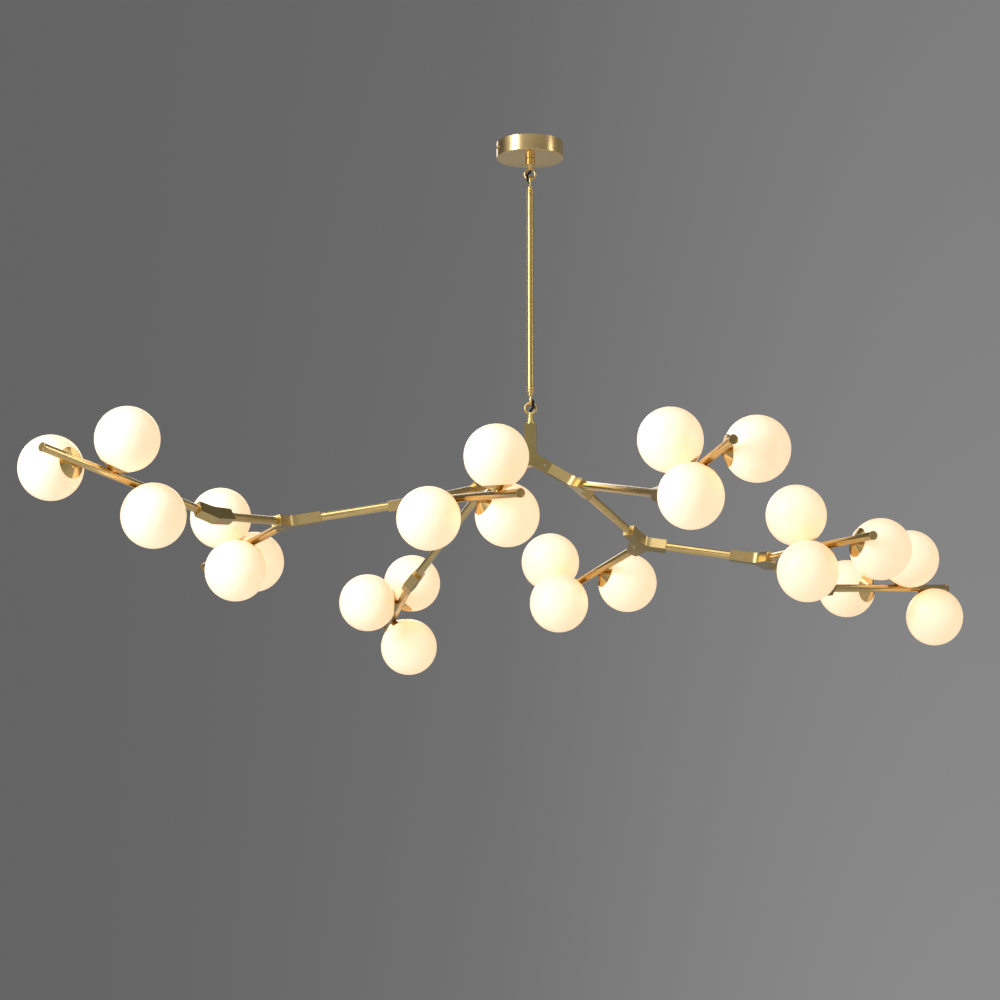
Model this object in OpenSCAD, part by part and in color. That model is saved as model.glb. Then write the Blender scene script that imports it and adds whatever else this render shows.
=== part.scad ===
// Branch chandelier: a round ceiling canopy, a drop rod hung between two pairs
// of linked loops, and a branching frame that carries glass globes on eight arms.
// Lengths are in mm and angles in degrees. The origin is the middle of the
// canopy's ceiling face, +Z is up and the front view looks along +Y.

/* [Canopy] */
// Outer diameter of the canopy
canopy_d = 134; // [124:1:170]
// Height of the canopy
canopy_h = 32; // [30:1:45]
// Sheet thickness of the canopy
canopy_wall = 1.5; // [1:0.1:2.5]
// Direction of the bracket and its side screws
bracket_angle = 17; // [0:1:45]
// Width of the bracket strap
strap_w = 20; // [18:1:24]
// Thickness of the bracket strap
strap_t = 2; // [1.5:0.1:2.5]
// Drop of the bracket's middle below the ceiling
strap_drop = 15; // [14:0.5:16]
// Distance between the two ceiling screw holes
ceiling_pitch = 76; // [70:1:82]
// Diameter of the ceiling screw holes
ceiling_hole_d = 5; // [4:0.5:6]
// Thread diameter of the side screws
side_screw_d = 4; // [3:0.5:5]

/* [Hanging] */
// Diameter of the stem under the canopy
stem_d = 19; // [16:0.5:22]
// Length of the stem that shows under the canopy
stem_l = 13; // [8:1:40]
// Diameter of the threaded shank inside the canopy
shank_d = 10; // [9:0.5:11]
// Outer diameter of each loop
loop_d = 26.4; // [25:0.1:30]
// Thickness of a loop's bar
loop_bar = 5.6; // [5:0.1:6]
// Clearance between two linked loops
loop_gap = 0.3; // [0.3:0.1:0.6]
// Length of the necks between a loop and its collar
neck_l = 8; // [7:0.5:14]
// Diameter of the drop rod
rod_d = 14; // [12:0.5:16]
// Wall of the drop rod
rod_wall = 1.2; // [1:0.1:1.5]
// Length of the drop rod between its collars
rod_l = 391; // [200:1:900]
// Diameter of the cable
cable_d = 4.4; // [3:0.1:4.6]

/* [Frame] */
// Diameter of the frame and arm tubes
tube_d = 16; // [14:0.5:17]
// Wall of the frame and arm tubes
tube_wall = 1.2; // [1:0.1:1.6]
// Radial clearance of a tube in its socket
socket_gap = 0.05; // [0.02:0.01:0.1]
// Depth of a tube in its socket
socket_l = 18; // [16:1:22]
// Width of a joint's bars
bar_w = 23; // [20:0.5:24]
// Thickness of a joint's bars
bar_t = 20; // [20:0.5:24]
// Radius of the webs between a joint's bars
web_r = 18; // [6:1:20]
// Length of a fork's two short bars
fork_short = 46; // [44:1:60]
// Length of a fork's long bar
fork_long = 60; // [50:1:80]
// Angle between a fork's short bars
fork_spread = 120; // [118:1:130]
// Length of the hub's upright bar
hub_long = 68; // [60:1:90]
// Angle between the hub's lower bars
hub_spread = 117; // [115:1:125]
// Turn of the hub about the rod
hub_turn = -7.5; // [-30:0.5:30]
// Tube between the first and second forks
link_near = 160; // [150:1:200]
// Tube between the second and third forks
link_mid = 130; // [125:1:160]
// Tube between the third fork and the end elbow
link_end = 145; // [140:1:170]
// Tube between the first fork and the side elbow
link_side = 380; // [350:1:420]
// Length of an elbow's inner bar
elbow_in = 50; // [48:1:60]
// Length of an elbow's outer bar
elbow_out = 44; // [40:1:60]
// Bend of an elbow
elbow_bend = 16; // [10:1:20]
// Depth of the link tube in an elbow
elbow_socket = 38; // [30:1:40]

/* [Right half] */
// Turn of the first fork
right_fork_1 = 88; // [85:0.5:91]
// Turn of the second fork
right_fork_2 = 153.5; // [151:0.5:156]
// Turn of the third fork
right_fork_3 = -166.5; // [-169:0.5:-164]
// Turn of the side elbow
right_elbow_1 = -38; // [-48:0.5:-28]
// Turn of the end elbow
right_elbow_2 = -59.5; // [-69:0.5:-50]
// Turn of the side arm
right_arm_1 = 103.5; // [90:0.5:115]
// Turn of the second fork's arm
right_arm_2 = -89; // [-100:0.5:-80]
// Turn of the third fork's arm
right_arm_3 = 29; // [20:0.5:40]
// Turn of the end arm
right_arm_4 = -31.5; // [-40:0.5:-20]

/* [Left half] */
// Turn of the first fork
left_fork_1 = 88; // [85:0.5:91]
// Turn of the second fork
left_fork_2 = 153; // [151:0.5:156]
// Turn of the third fork
left_fork_3 = -168.5; // [-171:0.5:-166]
// Turn of the side elbow
left_elbow_1 = -15; // [-25:0.5:-5]
// Turn of the end elbow
left_elbow_2 = -69; // [-79:0.5:-60]
// Turn of the side arm
left_arm_1 = -46; // [-56:0.5:-36]
// Turn of the second fork's arm
left_arm_2 = -67.5; // [-77:0.5:-57]
// Turn of the third fork's arm
left_arm_3 = -140.5; // [-150:0.5:-130]
// Turn of the end arm
left_arm_4 = -85; // [-95:0.5:-75]

/* [Arms] */
// First globe's distance from the arm's joint
globe_offset = 141; // [130:1:160]
// Distance between globes along an arm
globe_pitch = 82; // [76:1:100]
// Tube beyond the last globe
arm_tail = 89; // [60:1:120]
// Diameter of the end cap
cap_d = 17.6; // [17.2:0.2:20]
// Thickness of the end cap's disc
cap_t = 3; // [2:0.5:6]
// Depth of the end cap's plug in the tube
cap_plug = 8; // [5:0.5:12]

/* [Globes] */
// Diameter of a globe
globe_d = 120; // [116:1:122]
// Wall of a globe
glass_t = 2.2; // [1.8:0.1:3]
// Diameter of a globe's mouth
mouth_d = 38; // [34:0.5:40]
// Rim diameter of a cup
cup_rim_d = 58; // [56:0.5:62]
// Diameter of a cup's flat middle
cup_flat_d = 23; // [21:0.5:24]
// Height of a cup
cup_h = 9.25; // [9.1:0.05:10]
// Sheet thickness of a cup
cup_wall = 1; // [0.8:0.1:1.2]
// Diameter of the threaded stub under a cup
stub_d = 10; // [8:0.5:10.5]
// Length of the stub above its cup
stub_l = 12; // [8:0.5:14]
// Diameter of a lamp holder
holder_d = 19; // [17:0.5:20]
// Length of a lamp holder
holder_l = 21; // [18:0.5:26]
// Diameter of a lamp
lamp_d = 16; // [12:0.5:18]
// Length of a lamp
lamp_l = 50; // [40:1:60]
// Diameter of the wires inside the tubes
wire_d = 4; // [2.5:0.1:4.2]

/* [Hidden] */
$fn = 48;
seat = 0.1;             // gap between two faces that rest on each other
play = 0.3;             // gap between two faces that turn past each other
thread_gap = 0.02;      // radial clearance of a screwed thread
cut = 1;                // how far a cutter passes the face that it cuts
sides = [0, 1];         // right half, left half
side_name = ["r", "l"];
arms_per_side = 4;
globes_per_arm = 3;
globe_step = 360 / globes_per_arm;
fork_turn = [
  [right_fork_1, right_fork_2, right_fork_3],
  [left_fork_1, left_fork_2, left_fork_3]
];
elbow_turn = [
  [right_elbow_1, right_elbow_2],
  [left_elbow_1, left_elbow_2]
];
arm_turn = [
  [right_arm_1, right_arm_2, right_arm_3, right_arm_4],
  [left_arm_1, left_arm_2, left_arm_3, left_arm_4]
];

// Canopy and bracket
canopy_in_r = canopy_d / 2 - canopy_wall;
nut_w = shank_d * 1.7;
nut_t = 5;
ear_l = canopy_h * 0.6;
ear_x = sqrt(canopy_in_r * canopy_in_r - strap_w * strap_w / 4) - seat;
spanner_room = 8;
riser_x = nut_w / 2 + spanner_room;
screw_z = -canopy_h * 0.45;
head_r = side_screw_d * 0.9;
head_t = side_screw_d * 0.5;
screw_past = 2;         // side screw that stands past the bracket's ear
block_l = 26;
block_w = 16;
block_t = 11;
block_shift = 1;
block_x = (riser_x + strap_t + ceiling_pitch / 2) / 2 + block_shift;

// Drop, from the ceiling down
loop_r = (loop_d - loop_bar) / 2;
loop_in_r = loop_r - loop_bar / 2;
link_step = loop_bar + loop_gap;
cable_room = 0.3;
bore_r = cable_d / 2 + cable_room;
shank_over = 2;         // shank that stands past its nut
shank_top = -strap_drop + nut_t + shank_over;
stem_bottom = -canopy_h - stem_l;
stem_loop_z = stem_bottom - neck_l * 0.85 - loop_d / 2;
upper_pivot_z = stem_loop_z - loop_r;
rod_loop_z = upper_pivot_z + link_step - loop_r;
collar_l = 13.5;
rod_top = rod_loop_z - loop_d / 2 - neck_l * 0.35 - collar_l;
rod_bottom = rod_top - rod_l;
rod_low_loop_z = rod_bottom - collar_l - neck_l * 0.35 - loop_d / 2;
lower_pivot_z = rod_low_loop_z - loop_r;
hub_loop_z = lower_pivot_z + link_step - loop_r;
hub_top = hub_loop_z - loop_d / 2 - neck_l - collar_l * 0.8;
hub_z = hub_top - hub_long;
rod_in_r = rod_d / 2 - rod_wall;
plug_l = 14;
lip = 1;                // step between the rod, its end flange and its collar
lip_t = 2;
bead_r = 2;
flange_lip = 2;
flange_t = 3;

// Frame
tube_r = tube_d / 2;
tube_in_r = tube_r - tube_wall;
socket_r = tube_r + socket_gap;
wire_room = 0.2;
passage_r = wire_d / 2 + wire_room;
splice_room = 1.2;
pocket_r = cable_d / 2 + splice_room;
splice_gap = 1.5;       // from a joint's middle to the end of each wire that meets there
grub_r = 2;
grub_inset = 12;
grub_sunk = 0.6;
grub_gap = 0.3;
grub_l = bar_t / 2 - tube_r - grub_sunk - grub_gap;
bend_swell = 2;

// Globe set, measured out from the tube's axis
cup_z = tube_r + seat;
rim_in_r = cup_rim_d / 2 - cup_wall;
rim_z = cup_z + cup_h;
globe_r = globe_d / 2;
globe_in_r = globe_r - glass_t;
globe_z = rim_z + seat + sqrt(globe_r * globe_r - rim_in_r * rim_in_r);
stub_r = stub_d / 2;
stub_z = tube_in_r / 2;
holder_z = cup_z + cup_wall + seat;
stub_top = holder_z + stub_l;
ring_lip = 4;
ring_r = mouth_d / 2 + ring_lip;
ring_t = 2;
ring_z = globe_z - sqrt(globe_in_r * globe_in_r - ring_r * ring_r) + seat;
lamp_z = holder_z + holder_l + seat;
arm_l = globe_offset + (globes_per_arm - 1) * globe_pitch + arm_tail;

function arm_name(side, k) = str(side_name[side], k + 1);

// ---- places ------------------------------------------------------------

module in_hub(side) {
  translate([0, 0, hub_z])
    rotate([0, 0, hub_turn + 180 * side])
      rotate([0, 90 - hub_spread / 2, 0])
        children();
}

module turned_up(angle) {
  rotate([0, -angle, 0])
    children();
}

module turned_down(angle) {
  rotate([0, angle, 0])
    children();
}

module in_fork_1(side) {
  in_hub(side)
    translate([fork_short + fork_long, 0, 0])
      rotate([fork_turn[side][0], 0, 0])
        children();
}

module in_fork_2(side) {
  in_fork_1(side)
    turned_down(fork_spread / 2)
      translate([fork_short + link_near + fork_long, 0, 0])
        rotate([fork_turn[side][1], 0, 0])
          children();
}

module in_fork_3(side) {
  in_fork_2(side)
    turned_down(fork_spread / 2)
      translate([fork_short + link_mid + fork_long, 0, 0])
        rotate([fork_turn[side][2], 0, 0])
          children();
}

module in_elbow_1(side) {
  in_fork_1(side)
    turned_up(fork_spread / 2)
      translate([fork_short + link_side + elbow_in, 0, 0])
        rotate([elbow_turn[side][0], 0, 0])
          children();
}

module in_elbow_2(side) {
  in_fork_3(side)
    turned_down(fork_spread / 2)
      translate([fork_short + link_end + elbow_in, 0, 0])
        rotate([elbow_turn[side][1], 0, 0])
          children();
}

module in_fork(side, k) {
  if (k == 1) in_fork_1(side) children();
  if (k == 2) in_fork_2(side) children();
  if (k == 3) in_fork_3(side) children();
}

module in_elbow(side, k) {
  if (k == 1) in_elbow_1(side) children();
  if (k == 2) in_elbow_2(side) children();
}

// An arm's own frame: X along its tube, from the face of the joint that holds it
module in_arm(side, k) {
  if (k == 0) in_elbow_1(side) turned_up(elbow_bend) turned_arm(side, k, elbow_out) children();
  if (k == 1) in_fork_2(side) turned_up(fork_spread / 2) turned_arm(side, k, fork_short) children();
  if (k == 2) in_fork_3(side) turned_up(fork_spread / 2) turned_arm(side, k, fork_short) children();
  if (k == 3) in_elbow_2(side) turned_up(elbow_bend) turned_arm(side, k, elbow_out) children();
}

module turned_arm(side, k, bar_l) {
  translate([bar_l, 0, 0])
    rotate([arm_turn[side][k], 0, 0])
      children();
}

// A globe set's own frame: Z out from the tube's axis to the globe
module at_globe(i) {
  translate([globe_offset + i * globe_pitch, 0, 0])
    rotate([i * globe_step - 90, 0, 0])
      children();
}

// ---- shapes ------------------------------------------------------------

module rod_x(r, from, to) {
  translate([from, 0, 0])
    rotate([0, 90, 0])
      cylinder(r = r, h = to - from);
}

module tube_x(from, to) {
  difference() {
    rod_x(tube_r, from, to);
    rod_x(tube_in_r, from - cut, to + cut);
  }
}

module ring(z, across) {
  translate([0, 0, z])
    rotate([90, 0, across])
      rotate_extrude()
        translate([loop_r, 0])
          circle(d = loop_bar);
}

// A round section swept along a route of points
module sweep(route, r, n = 8) {
  last = len(route) - 1;
  function ahead(i) = route[min(i + 1, last)] - route[max(i - 1, 0)];
  function unit(v) = v / norm(v);
  function side_of(i) = unit(cross(ahead(i), [0.3, 1, 0.2]));
  function lift_of(i) = unit(cross(side_of(i), ahead(i)));
  points = [
    for (i = [0 : last]) for (j = [0 : n - 1])
      route[i] + r * (cos(j * 360 / n) * side_of(i) + sin(j * 360 / n) * lift_of(i))
  ];
  walls = [
    for (i = [0 : last - 1]) for (j = [0 : n - 1])
      [i * n + j, i * n + (j + 1) % n, (i + 1) * n + (j + 1) % n, (i + 1) * n + j]
  ];
  start = [[for (j = [n - 1 : -1 : 0]) j]];
  end = [[for (j = [0 : n - 1]) last * n + j]];
  polyhedron(points, concat(walls, start, end), convexity = 4);
}

// One straight bar of a joint, flat in the sheet's plane
module flat_bar(angle, l) {
  rotate(angle)
    translate([0, -bar_w / 2])
      square([l, bar_w]);
}

// The rounded web between two bars that stand at two angles
module flat_web(from, to) {
  half = (to - from) / 2;
  along = (bar_w / 2 + web_r) / tan(half);
  centre = (bar_w / 2 + web_r) / sin(half);
  near = along * cos(half) + bar_w / 2 * sin(half);
  off = along * sin(half) - bar_w / 2 * cos(half);
  rotate((from + to) / 2)
    difference() {
      polygon([[0, 0], [near, -off], [centre, 0], [near, off]]);
      translate([centre, 0])
        circle(r = web_r);
    }
}

// A forked plate: its long bar points along -X, its short bars up and down from +X
module fork_plate(long, short, spread) {
  half = spread / 2;
  rotate([90, 0, 0])
    linear_extrude(bar_t, center = true) {
      flat_bar(180, long);
      flat_bar(half, short);
      flat_bar(-half, short);
      flat_web(-half, half);
      flat_web(half, 180);
      flat_web(-180, -half);
    }
}

// The pocket where the wires of a joint are spliced, its seam turned clear of them
module splice_pocket(seam) {
  rotate([90, seam, 0])
    cylinder(r = pocket_r, h = 2 * pocket_r, center = true);
}

// The socket, wire passage and clamp hole in a bar that ends at x = l
module bar_cuts(l, depth, inset) {
  rod_x(socket_r, l - depth, l + cut);
  rod_x(passage_r, 0, l);
  translate([l - inset, 0, 0])
    rotate([90, 0, 0])
      cylinder(r = grub_r, h = bar_t / 2 + cut);
}

// The grub screw that clamps a tube in the same bar
module grub(l, inset) {
  translate([l - inset, -bar_t / 2 + grub_sunk + grub_l, 0])
    rotate([90, 0, 0])
      cylinder(r = grub_r - thread_gap, h = grub_l);
}

// A fork's three grub screws
module fork_grubs() {
  rotate([0, 180, 0])
    grub(fork_long, grub_inset);
  turned_up(fork_spread / 2)
    grub(fork_short, grub_inset);
  turned_down(fork_spread / 2)
    grub(fork_short, grub_inset);
}

// ---- ceiling -----------------------------------------------------------

module canopy() {
  color("darkgoldenrod")
    rotate([0, 0, bracket_angle])
      difference() {
        translate([0, 0, -canopy_h])
          cylinder(d = canopy_d, h = canopy_h, $fn = 96);
        translate([0, 0, -canopy_h + canopy_wall])
          cylinder(r = canopy_in_r, h = canopy_h, $fn = 96);
        translate([0, 0, -canopy_h - cut])
          cylinder(d = shank_d + 2 * seat, h = canopy_wall + 2 * cut);
        for (turn = [0, 180])
          rotate([0, 0, turn])
            translate([0, 0, screw_z])
              rod_x(side_screw_d / 2 + seat, ear_x, canopy_d / 2 + cut);
      }
}

module bracket_half() {
  translate([riser_x, -strap_w / 2, -strap_t])
    cube([ear_x - riser_x, strap_w, strap_t]);
  translate([ear_x - strap_t, -strap_w / 2, -ear_l])
    cube([strap_t, strap_w, ear_l]);
  translate([riser_x, -strap_w / 2, -strap_drop - strap_t])
    cube([strap_t, strap_w, strap_drop + strap_t]);
  translate([0, -strap_w / 2, -strap_drop - strap_t])
    cube([riser_x + strap_t, strap_w, strap_t]);
}

module bracket() {
  color("silver")
    rotate([0, 0, bracket_angle])
      difference() {
        for (turn = [0, 180])
          rotate([0, 0, turn])
            bracket_half();
        translate([0, 0, -strap_drop - strap_t - cut])
          cylinder(d = shank_d + 2 * seat, h = strap_t + 2 * cut);
        for (turn = [0, 180])
          rotate([0, 0, turn]) {
            translate([ceiling_pitch / 2, 0, -strap_t - cut])
              cylinder(d = ceiling_hole_d, h = strap_t + 2 * cut);
            translate([0, 0, screw_z])
              rod_x(side_screw_d / 2, ear_x - strap_t - cut, ear_x + cut);
          }
      }
}

module nut(z) {
  translate([0, 0, z])
    difference() {
      cylinder(d = nut_w, h = nut_t, $fn = 6);
      translate([0, 0, -cut])
        cylinder(d = shank_d + 2 * thread_gap, h = nut_t + 2 * cut);
    }
}

module side_screw() {
  translate([0, 0, screw_z]) {
    rod_x(side_screw_d / 2 - thread_gap, ear_x - strap_t - screw_past, canopy_d / 2 + head_t / 2);
    rod_x(head_r, canopy_d / 2, canopy_d / 2 + head_t);
  }
}

module bracket_fasteners() {
  color("goldenrod")
    rotate([0, 0, bracket_angle]) {
      nut(-strap_drop);
      nut(-strap_drop - strap_t - nut_t);
      for (turn = [0, 180])
        rotate([0, 0, turn])
          side_screw();
    }
}

module terminal_block() {
  color("ivory")
    rotate([0, 0, bracket_angle])
      difference() {
        translate([-block_x - block_l / 2, strap_w / 2, -block_t])
          cube([block_l, block_w, block_t]);
        for (i = [-1, 0, 1])
          translate([-block_x + i * block_l / 3, strap_w / 2 + block_w / 2, -block_t - cut])
            cylinder(d = 3.5, h = block_t * 0.6);
      }
}

module stem_loop() {
  color("darkgoldenrod")
    difference() {
      union() {
        translate([0, 0, -canopy_h])
          cylinder(d = shank_d, h = shank_top + canopy_h);
        translate([0, 0, stem_bottom])
          cylinder(d = stem_d, h = stem_l);
        translate([0, 0, stem_loop_z + loop_r])
          cylinder(r1 = loop_bar * 0.75, r2 = stem_d / 2, h = stem_bottom - stem_loop_z - loop_r);
        ring(stem_loop_z, 0);
      }
      translate([0, 0, stem_loop_z + loop_in_r - cut])
        cylinder(r = bore_r, h = shank_top - stem_loop_z);
    }
}

// The cable from the terminal block over the shank and down to the first loop
module supply_cable() {
  top = shank_top + cable_d;
  run = [
    [0, 0, stem_loop_z + loop_in_r],
    [0, 0, shank_top - 1],
    [-0.6, 0.7, shank_top + 2],
    [-2.2, 2.6, top - 0.6],
    [-5, 5.8, top + 0.4],
    [-9, 10.4, top + 0.3],
    [-13, 14.8, top - 0.6],
    [-block_x + block_l / 2 - 2, strap_w / 2 + block_w / 2, top - 1.6]
  ];
  color("black")
    rotate([0, 0, bracket_angle])
      sweep(run, cable_d / 2);
}

// ---- drop rod ----------------------------------------------------------

module rod_tube() {
  color("goldenrod")
    translate([0, 0, rod_bottom])
      difference() {
        cylinder(d = rod_d, h = rod_l);
        translate([0, 0, -cut])
          cylinder(r = rod_in_r, h = rod_l + 2 * cut);
      }
}

module bead(z) {
  translate([0, 0, z])
    rotate_extrude()
      translate([rod_d / 2 - lip, 0])
        circle(r = bead_r);
}

// One end of the rod, drawn upwards from the rod's end face
module rod_end() {
  difference() {
    union() {
      translate([0, 0, -plug_l])
        cylinder(r = rod_in_r - thread_gap, h = plug_l + cut);
      cylinder(d = rod_d + 2 * lip, h = lip_t);
      cylinder(d = rod_d - 2 * lip, h = collar_l);
      bead(collar_l * 0.42);
      bead(collar_l * 0.8);
      cylinder(d = loop_bar * 1.6, h = collar_l + neck_l * 0.35 + loop_bar / 2);
      ring(collar_l + neck_l * 0.35 + loop_d / 2, 90);
    }
    translate([0, 0, -plug_l - cut])
      cylinder(r = bore_r, h = plug_l + collar_l + neck_l * 0.35 + loop_bar + 2 * cut);
  }
}

module rod_loops() {
  color("darkgoldenrod") {
    translate([0, 0, rod_top])
      rod_end();
    translate([0, 0, rod_bottom])
      mirror([0, 0, 1])
        rod_end();
  }
}

module rod_cable() {
  low = rod_low_loop_z + loop_in_r;
  color("black")
    translate([0, 0, low])
      cylinder(d = cable_d, h = rod_loop_z - loop_in_r - low);
}

// The slack between two linked loops, which passes beside both bars
module jumper(top, bottom, way) {
  steps = 16;
  reach = (loop_bar + cable_d) / 2 + loop_gap;
  function ease(u) = u * u * (3 - 2 * u);
  function swing(t) = reach * ease(min(1, max(0, 3.6 * (min(t, 1 - t) - 1 / steps))));
  color("black")
    sweep(
      [for (i = [0 : steps]) [way * swing(i / steps), -swing(i / steps), top + (bottom - top) * i / steps]],
      cable_d / 2
    );
}

module upper_jumper() {
  jumper(stem_loop_z + loop_in_r, rod_loop_z - loop_in_r, -1);
}

module lower_jumper() {
  jumper(rod_low_loop_z + loop_in_r, hub_loop_z - loop_in_r, 1);
}

// ---- frame -------------------------------------------------------------

module hub_loop() {
  neck_h = hub_loop_z - loop_r - hub_top;
  color("darkgoldenrod")
    difference() {
      union() {
        ring(hub_loop_z, 0);
        translate([0, 0, hub_top])
          cylinder(r1 = rod_d / 2, r2 = loop_bar * 0.8, h = neck_h);
        translate([0, 0, hub_top])
          cylinder(d = rod_d + 2 * flange_lip, h = flange_t);
        translate([0, 0, hub_top - plug_l])
          cylinder(d = shank_d, h = plug_l + cut);
      }
      translate([0, 0, hub_top - plug_l - cut])
        cylinder(r = bore_r, h = hub_loop_z - loop_in_r - hub_top + plug_l + 2 * cut);
    }
}

module hub() {
  color("olive")
    difference() {
      translate([0, 0, hub_z])
        rotate([0, 90, hub_turn])
          fork_plate(hub_long, fork_short, hub_spread);
      for (side = sides)
        in_hub(side)
          bar_cuts(fork_short, socket_l, grub_inset);
      translate([0, 0, hub_top - plug_l - seat])
        cylinder(r = shank_d / 2 + thread_gap, h = plug_l + seat + cut);
      translate([0, 0, hub_z]) {
        cylinder(r = bore_r, h = hub_long);
        rotate([0, 0, hub_turn])
          splice_pocket(90);
      }
    }
}

module fork(side, k) {
  color("olive")
    in_fork(side, k)
      difference() {
        fork_plate(fork_long, fork_short, fork_spread);
        rotate([0, 180, 0])
          bar_cuts(fork_long, socket_l, grub_inset);
        turned_up(fork_spread / 2)
          bar_cuts(fork_short, socket_l, grub_inset);
        turned_down(fork_spread / 2)
          bar_cuts(fork_short, socket_l, grub_inset);
        splice_pocket(0);
      }
}

module frame_fasteners() {
  color("dimgray")
    for (side = sides) {
      in_hub(side)
        grub(fork_short, grub_inset);
      for (k = [1 : 3])
        in_fork(side, k)
          fork_grubs();
    }
}

// The four tubes of one half and the short one that joins it to the hub
module links(side) {
  in_bar = socket_l - seat;
  near = fork_short - in_bar;
  color("tan") {
    in_hub(side)
      tube_x(near, fork_short + in_bar);
    in_fork_1(side)
      turned_down(fork_spread / 2)
        tube_x(near, fork_short + link_near + in_bar);
    in_fork_2(side)
      turned_down(fork_spread / 2)
        tube_x(near, fork_short + link_mid + in_bar);
    in_fork_3(side)
      turned_down(fork_spread / 2)
        tube_x(near, fork_short + link_end + elbow_socket - play);
    in_fork_1(side)
      turned_up(fork_spread / 2)
        tube_x(near, fork_short + link_side + elbow_socket - play);
  }
}

// A wire along X whose ends stop short of the two joints' centres
module wire_x(to) {
  rod_x(wire_d / 2, splice_gap, to - splice_gap);
}

// The wires inside the hub, the forks and the link tubes
module frame_wires() {
  to_arm = fork_short - socket_l;
  color("dimgray") {
    translate([0, 0, hub_z + splice_gap])
      cylinder(d = cable_d, h = hub_loop_z - loop_in_r - hub_z - splice_gap);
    for (side = sides) {
      in_hub(side)
        wire_x(fork_short + fork_long);
      in_fork_1(side) {
        turned_up(fork_spread / 2)
          wire_x(fork_short + link_side + elbow_socket);
        turned_down(fork_spread / 2)
          wire_x(fork_short + link_near + fork_long);
      }
      in_fork_2(side) {
        turned_up(fork_spread / 2)
          wire_x(to_arm);
        turned_down(fork_spread / 2)
          wire_x(fork_short + link_mid + fork_long);
      }
      in_fork_3(side) {
        turned_up(fork_spread / 2)
          wire_x(to_arm);
        turned_down(fork_spread / 2)
          wire_x(fork_short + link_end + elbow_socket);
      }
    }
  }
}

// ---- elbows and arms ---------------------------------------------------

// An elbow's outline: two bars that swell a little towards the bend
module elbow_outline() {
  half = bar_w / 2;
  peak = half + bend_swell;
  mid = elbow_bend / 2;
  function on_outer(x, y) = [x * cos(elbow_bend) - y * sin(elbow_bend), x * sin(elbow_bend) + y * cos(elbow_bend)];
  polygon([
    [-elbow_in, -half],
    [peak * sin(mid), -peak * cos(mid)],
    on_outer(elbow_out, -half),
    on_outer(elbow_out, half),
    [-peak * sin(mid), peak * cos(mid)],
    [-elbow_in, half]
  ]);
}

// An elbow with its two grub screws and the wire inside it
module elbow(side, k) {
  in_elbow(side, k) {
    color("olive")
      difference() {
        rotate([90, 0, 0])
          linear_extrude(bar_t, center = true)
            elbow_outline();
        rotate([0, 180, 0])
          bar_cuts(elbow_in, elbow_socket, grub_inset);
        turned_up(elbow_bend)
          bar_cuts(elbow_out, socket_l, grub_inset);
        splice_pocket(90);
      }
    color("dimgray") {
      rotate([0, 180, 0])
        grub(elbow_in, grub_inset);
      turned_up(elbow_bend)
        grub(elbow_out, grub_inset);
      rotate([0, 180, 0])
        wire_x(elbow_in - elbow_socket);
      turned_up(elbow_bend)
        wire_x(elbow_out - socket_l);
    }
  }
}

// An arm's tube with its three stub holes, and its end cap
module arm(side, k) {
  tube_end = arm_l - cap_t;
  in_arm(side, k) {
    color("tan")
      difference() {
        tube_x(-socket_l + play, tube_end);
        for (i = [0 : globes_per_arm - 1])
          at_globe(i)
            cylinder(r = stub_r + thread_gap, h = tube_r + cut);
      }
    color("goldenrod") {
      rod_x(tube_in_r - thread_gap, tube_end - cap_plug, arm_l);
      rod_x(cap_d / 2, tube_end + seat, arm_l);
    }
  }
}

// A spun cup
module cup() {
  hole_r = stub_r + seat;
  flat_r = cup_flat_d / 2;
  rotate_extrude($fn = 72)
    polygon([
      [hole_r, cup_z],
      [flat_r, cup_z],
      [cup_rim_d / 2, rim_z],
      [rim_in_r, rim_z],
      [flat_r, cup_z + cup_wall],
      [hole_r, cup_z + cup_wall]
    ]);
}

// The hollow stub that joins a cup and its lamp holder to the arm
module stub() {
  translate([0, 0, stub_z])
    difference() {
      cylinder(r = stub_r, h = stub_top - stub_z);
      translate([0, 0, -cut])
        cylinder(r = passage_r, h = stub_top - stub_z + 2 * cut);
    }
}

module cups(side, k) {
  color("goldenrod")
    in_arm(side, k)
      for (i = [0 : globes_per_arm - 1])
        at_globe(i) {
          cup();
          stub();
        }
}

module lamp_holder() {
  translate([0, 0, holder_z])
    difference() {
      cylinder(d = holder_d, h = holder_l);
      translate([0, 0, -cut])
        cylinder(r = stub_r + thread_gap, h = stub_l + seat + cut);
    }
}

module holding_ring() {
  translate([0, 0, ring_z])
    difference() {
      cylinder(r = ring_r, h = ring_t);
      translate([0, 0, -cut])
        cylinder(r = holder_d / 2 + thread_gap, h = ring_t + 2 * cut);
    }
}

module lamp() {
  lamp_r = lamp_d / 2;
  translate([0, 0, lamp_z]) {
    cylinder(r = lamp_r, h = lamp_l - lamp_r);
    translate([0, 0, lamp_l - lamp_r])
      sphere(r = lamp_r);
  }
}

// The lamps of one arm with their holders, rings and wire
module lamps(side, k) {
  in_arm(side, k) {
    color("white")
      for (i = [0 : globes_per_arm - 1])
        at_globe(i) {
          lamp_holder();
          holding_ring();
          lamp();
        }
    color("dimgray") {
      rod_x(wire_d / 2, -socket_l + play, arm_l - cap_t - cap_plug - seat);
      for (i = [0 : globes_per_arm - 1])
        at_globe(i)
          translate([0, 0, wire_d / 2 + seat])
            cylinder(d = wire_d, h = stub_top - wire_d / 2 - seat);
    }
  }
}

module globe() {
  translate([0, 0, globe_z])
    difference() {
      sphere(r = globe_r, $fn = 72);
      sphere(r = globe_in_r, $fn = 72);
      translate([0, 0, -globe_r - cut])
        cylinder(d = mouth_d, h = globe_r);
    }
}

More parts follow.
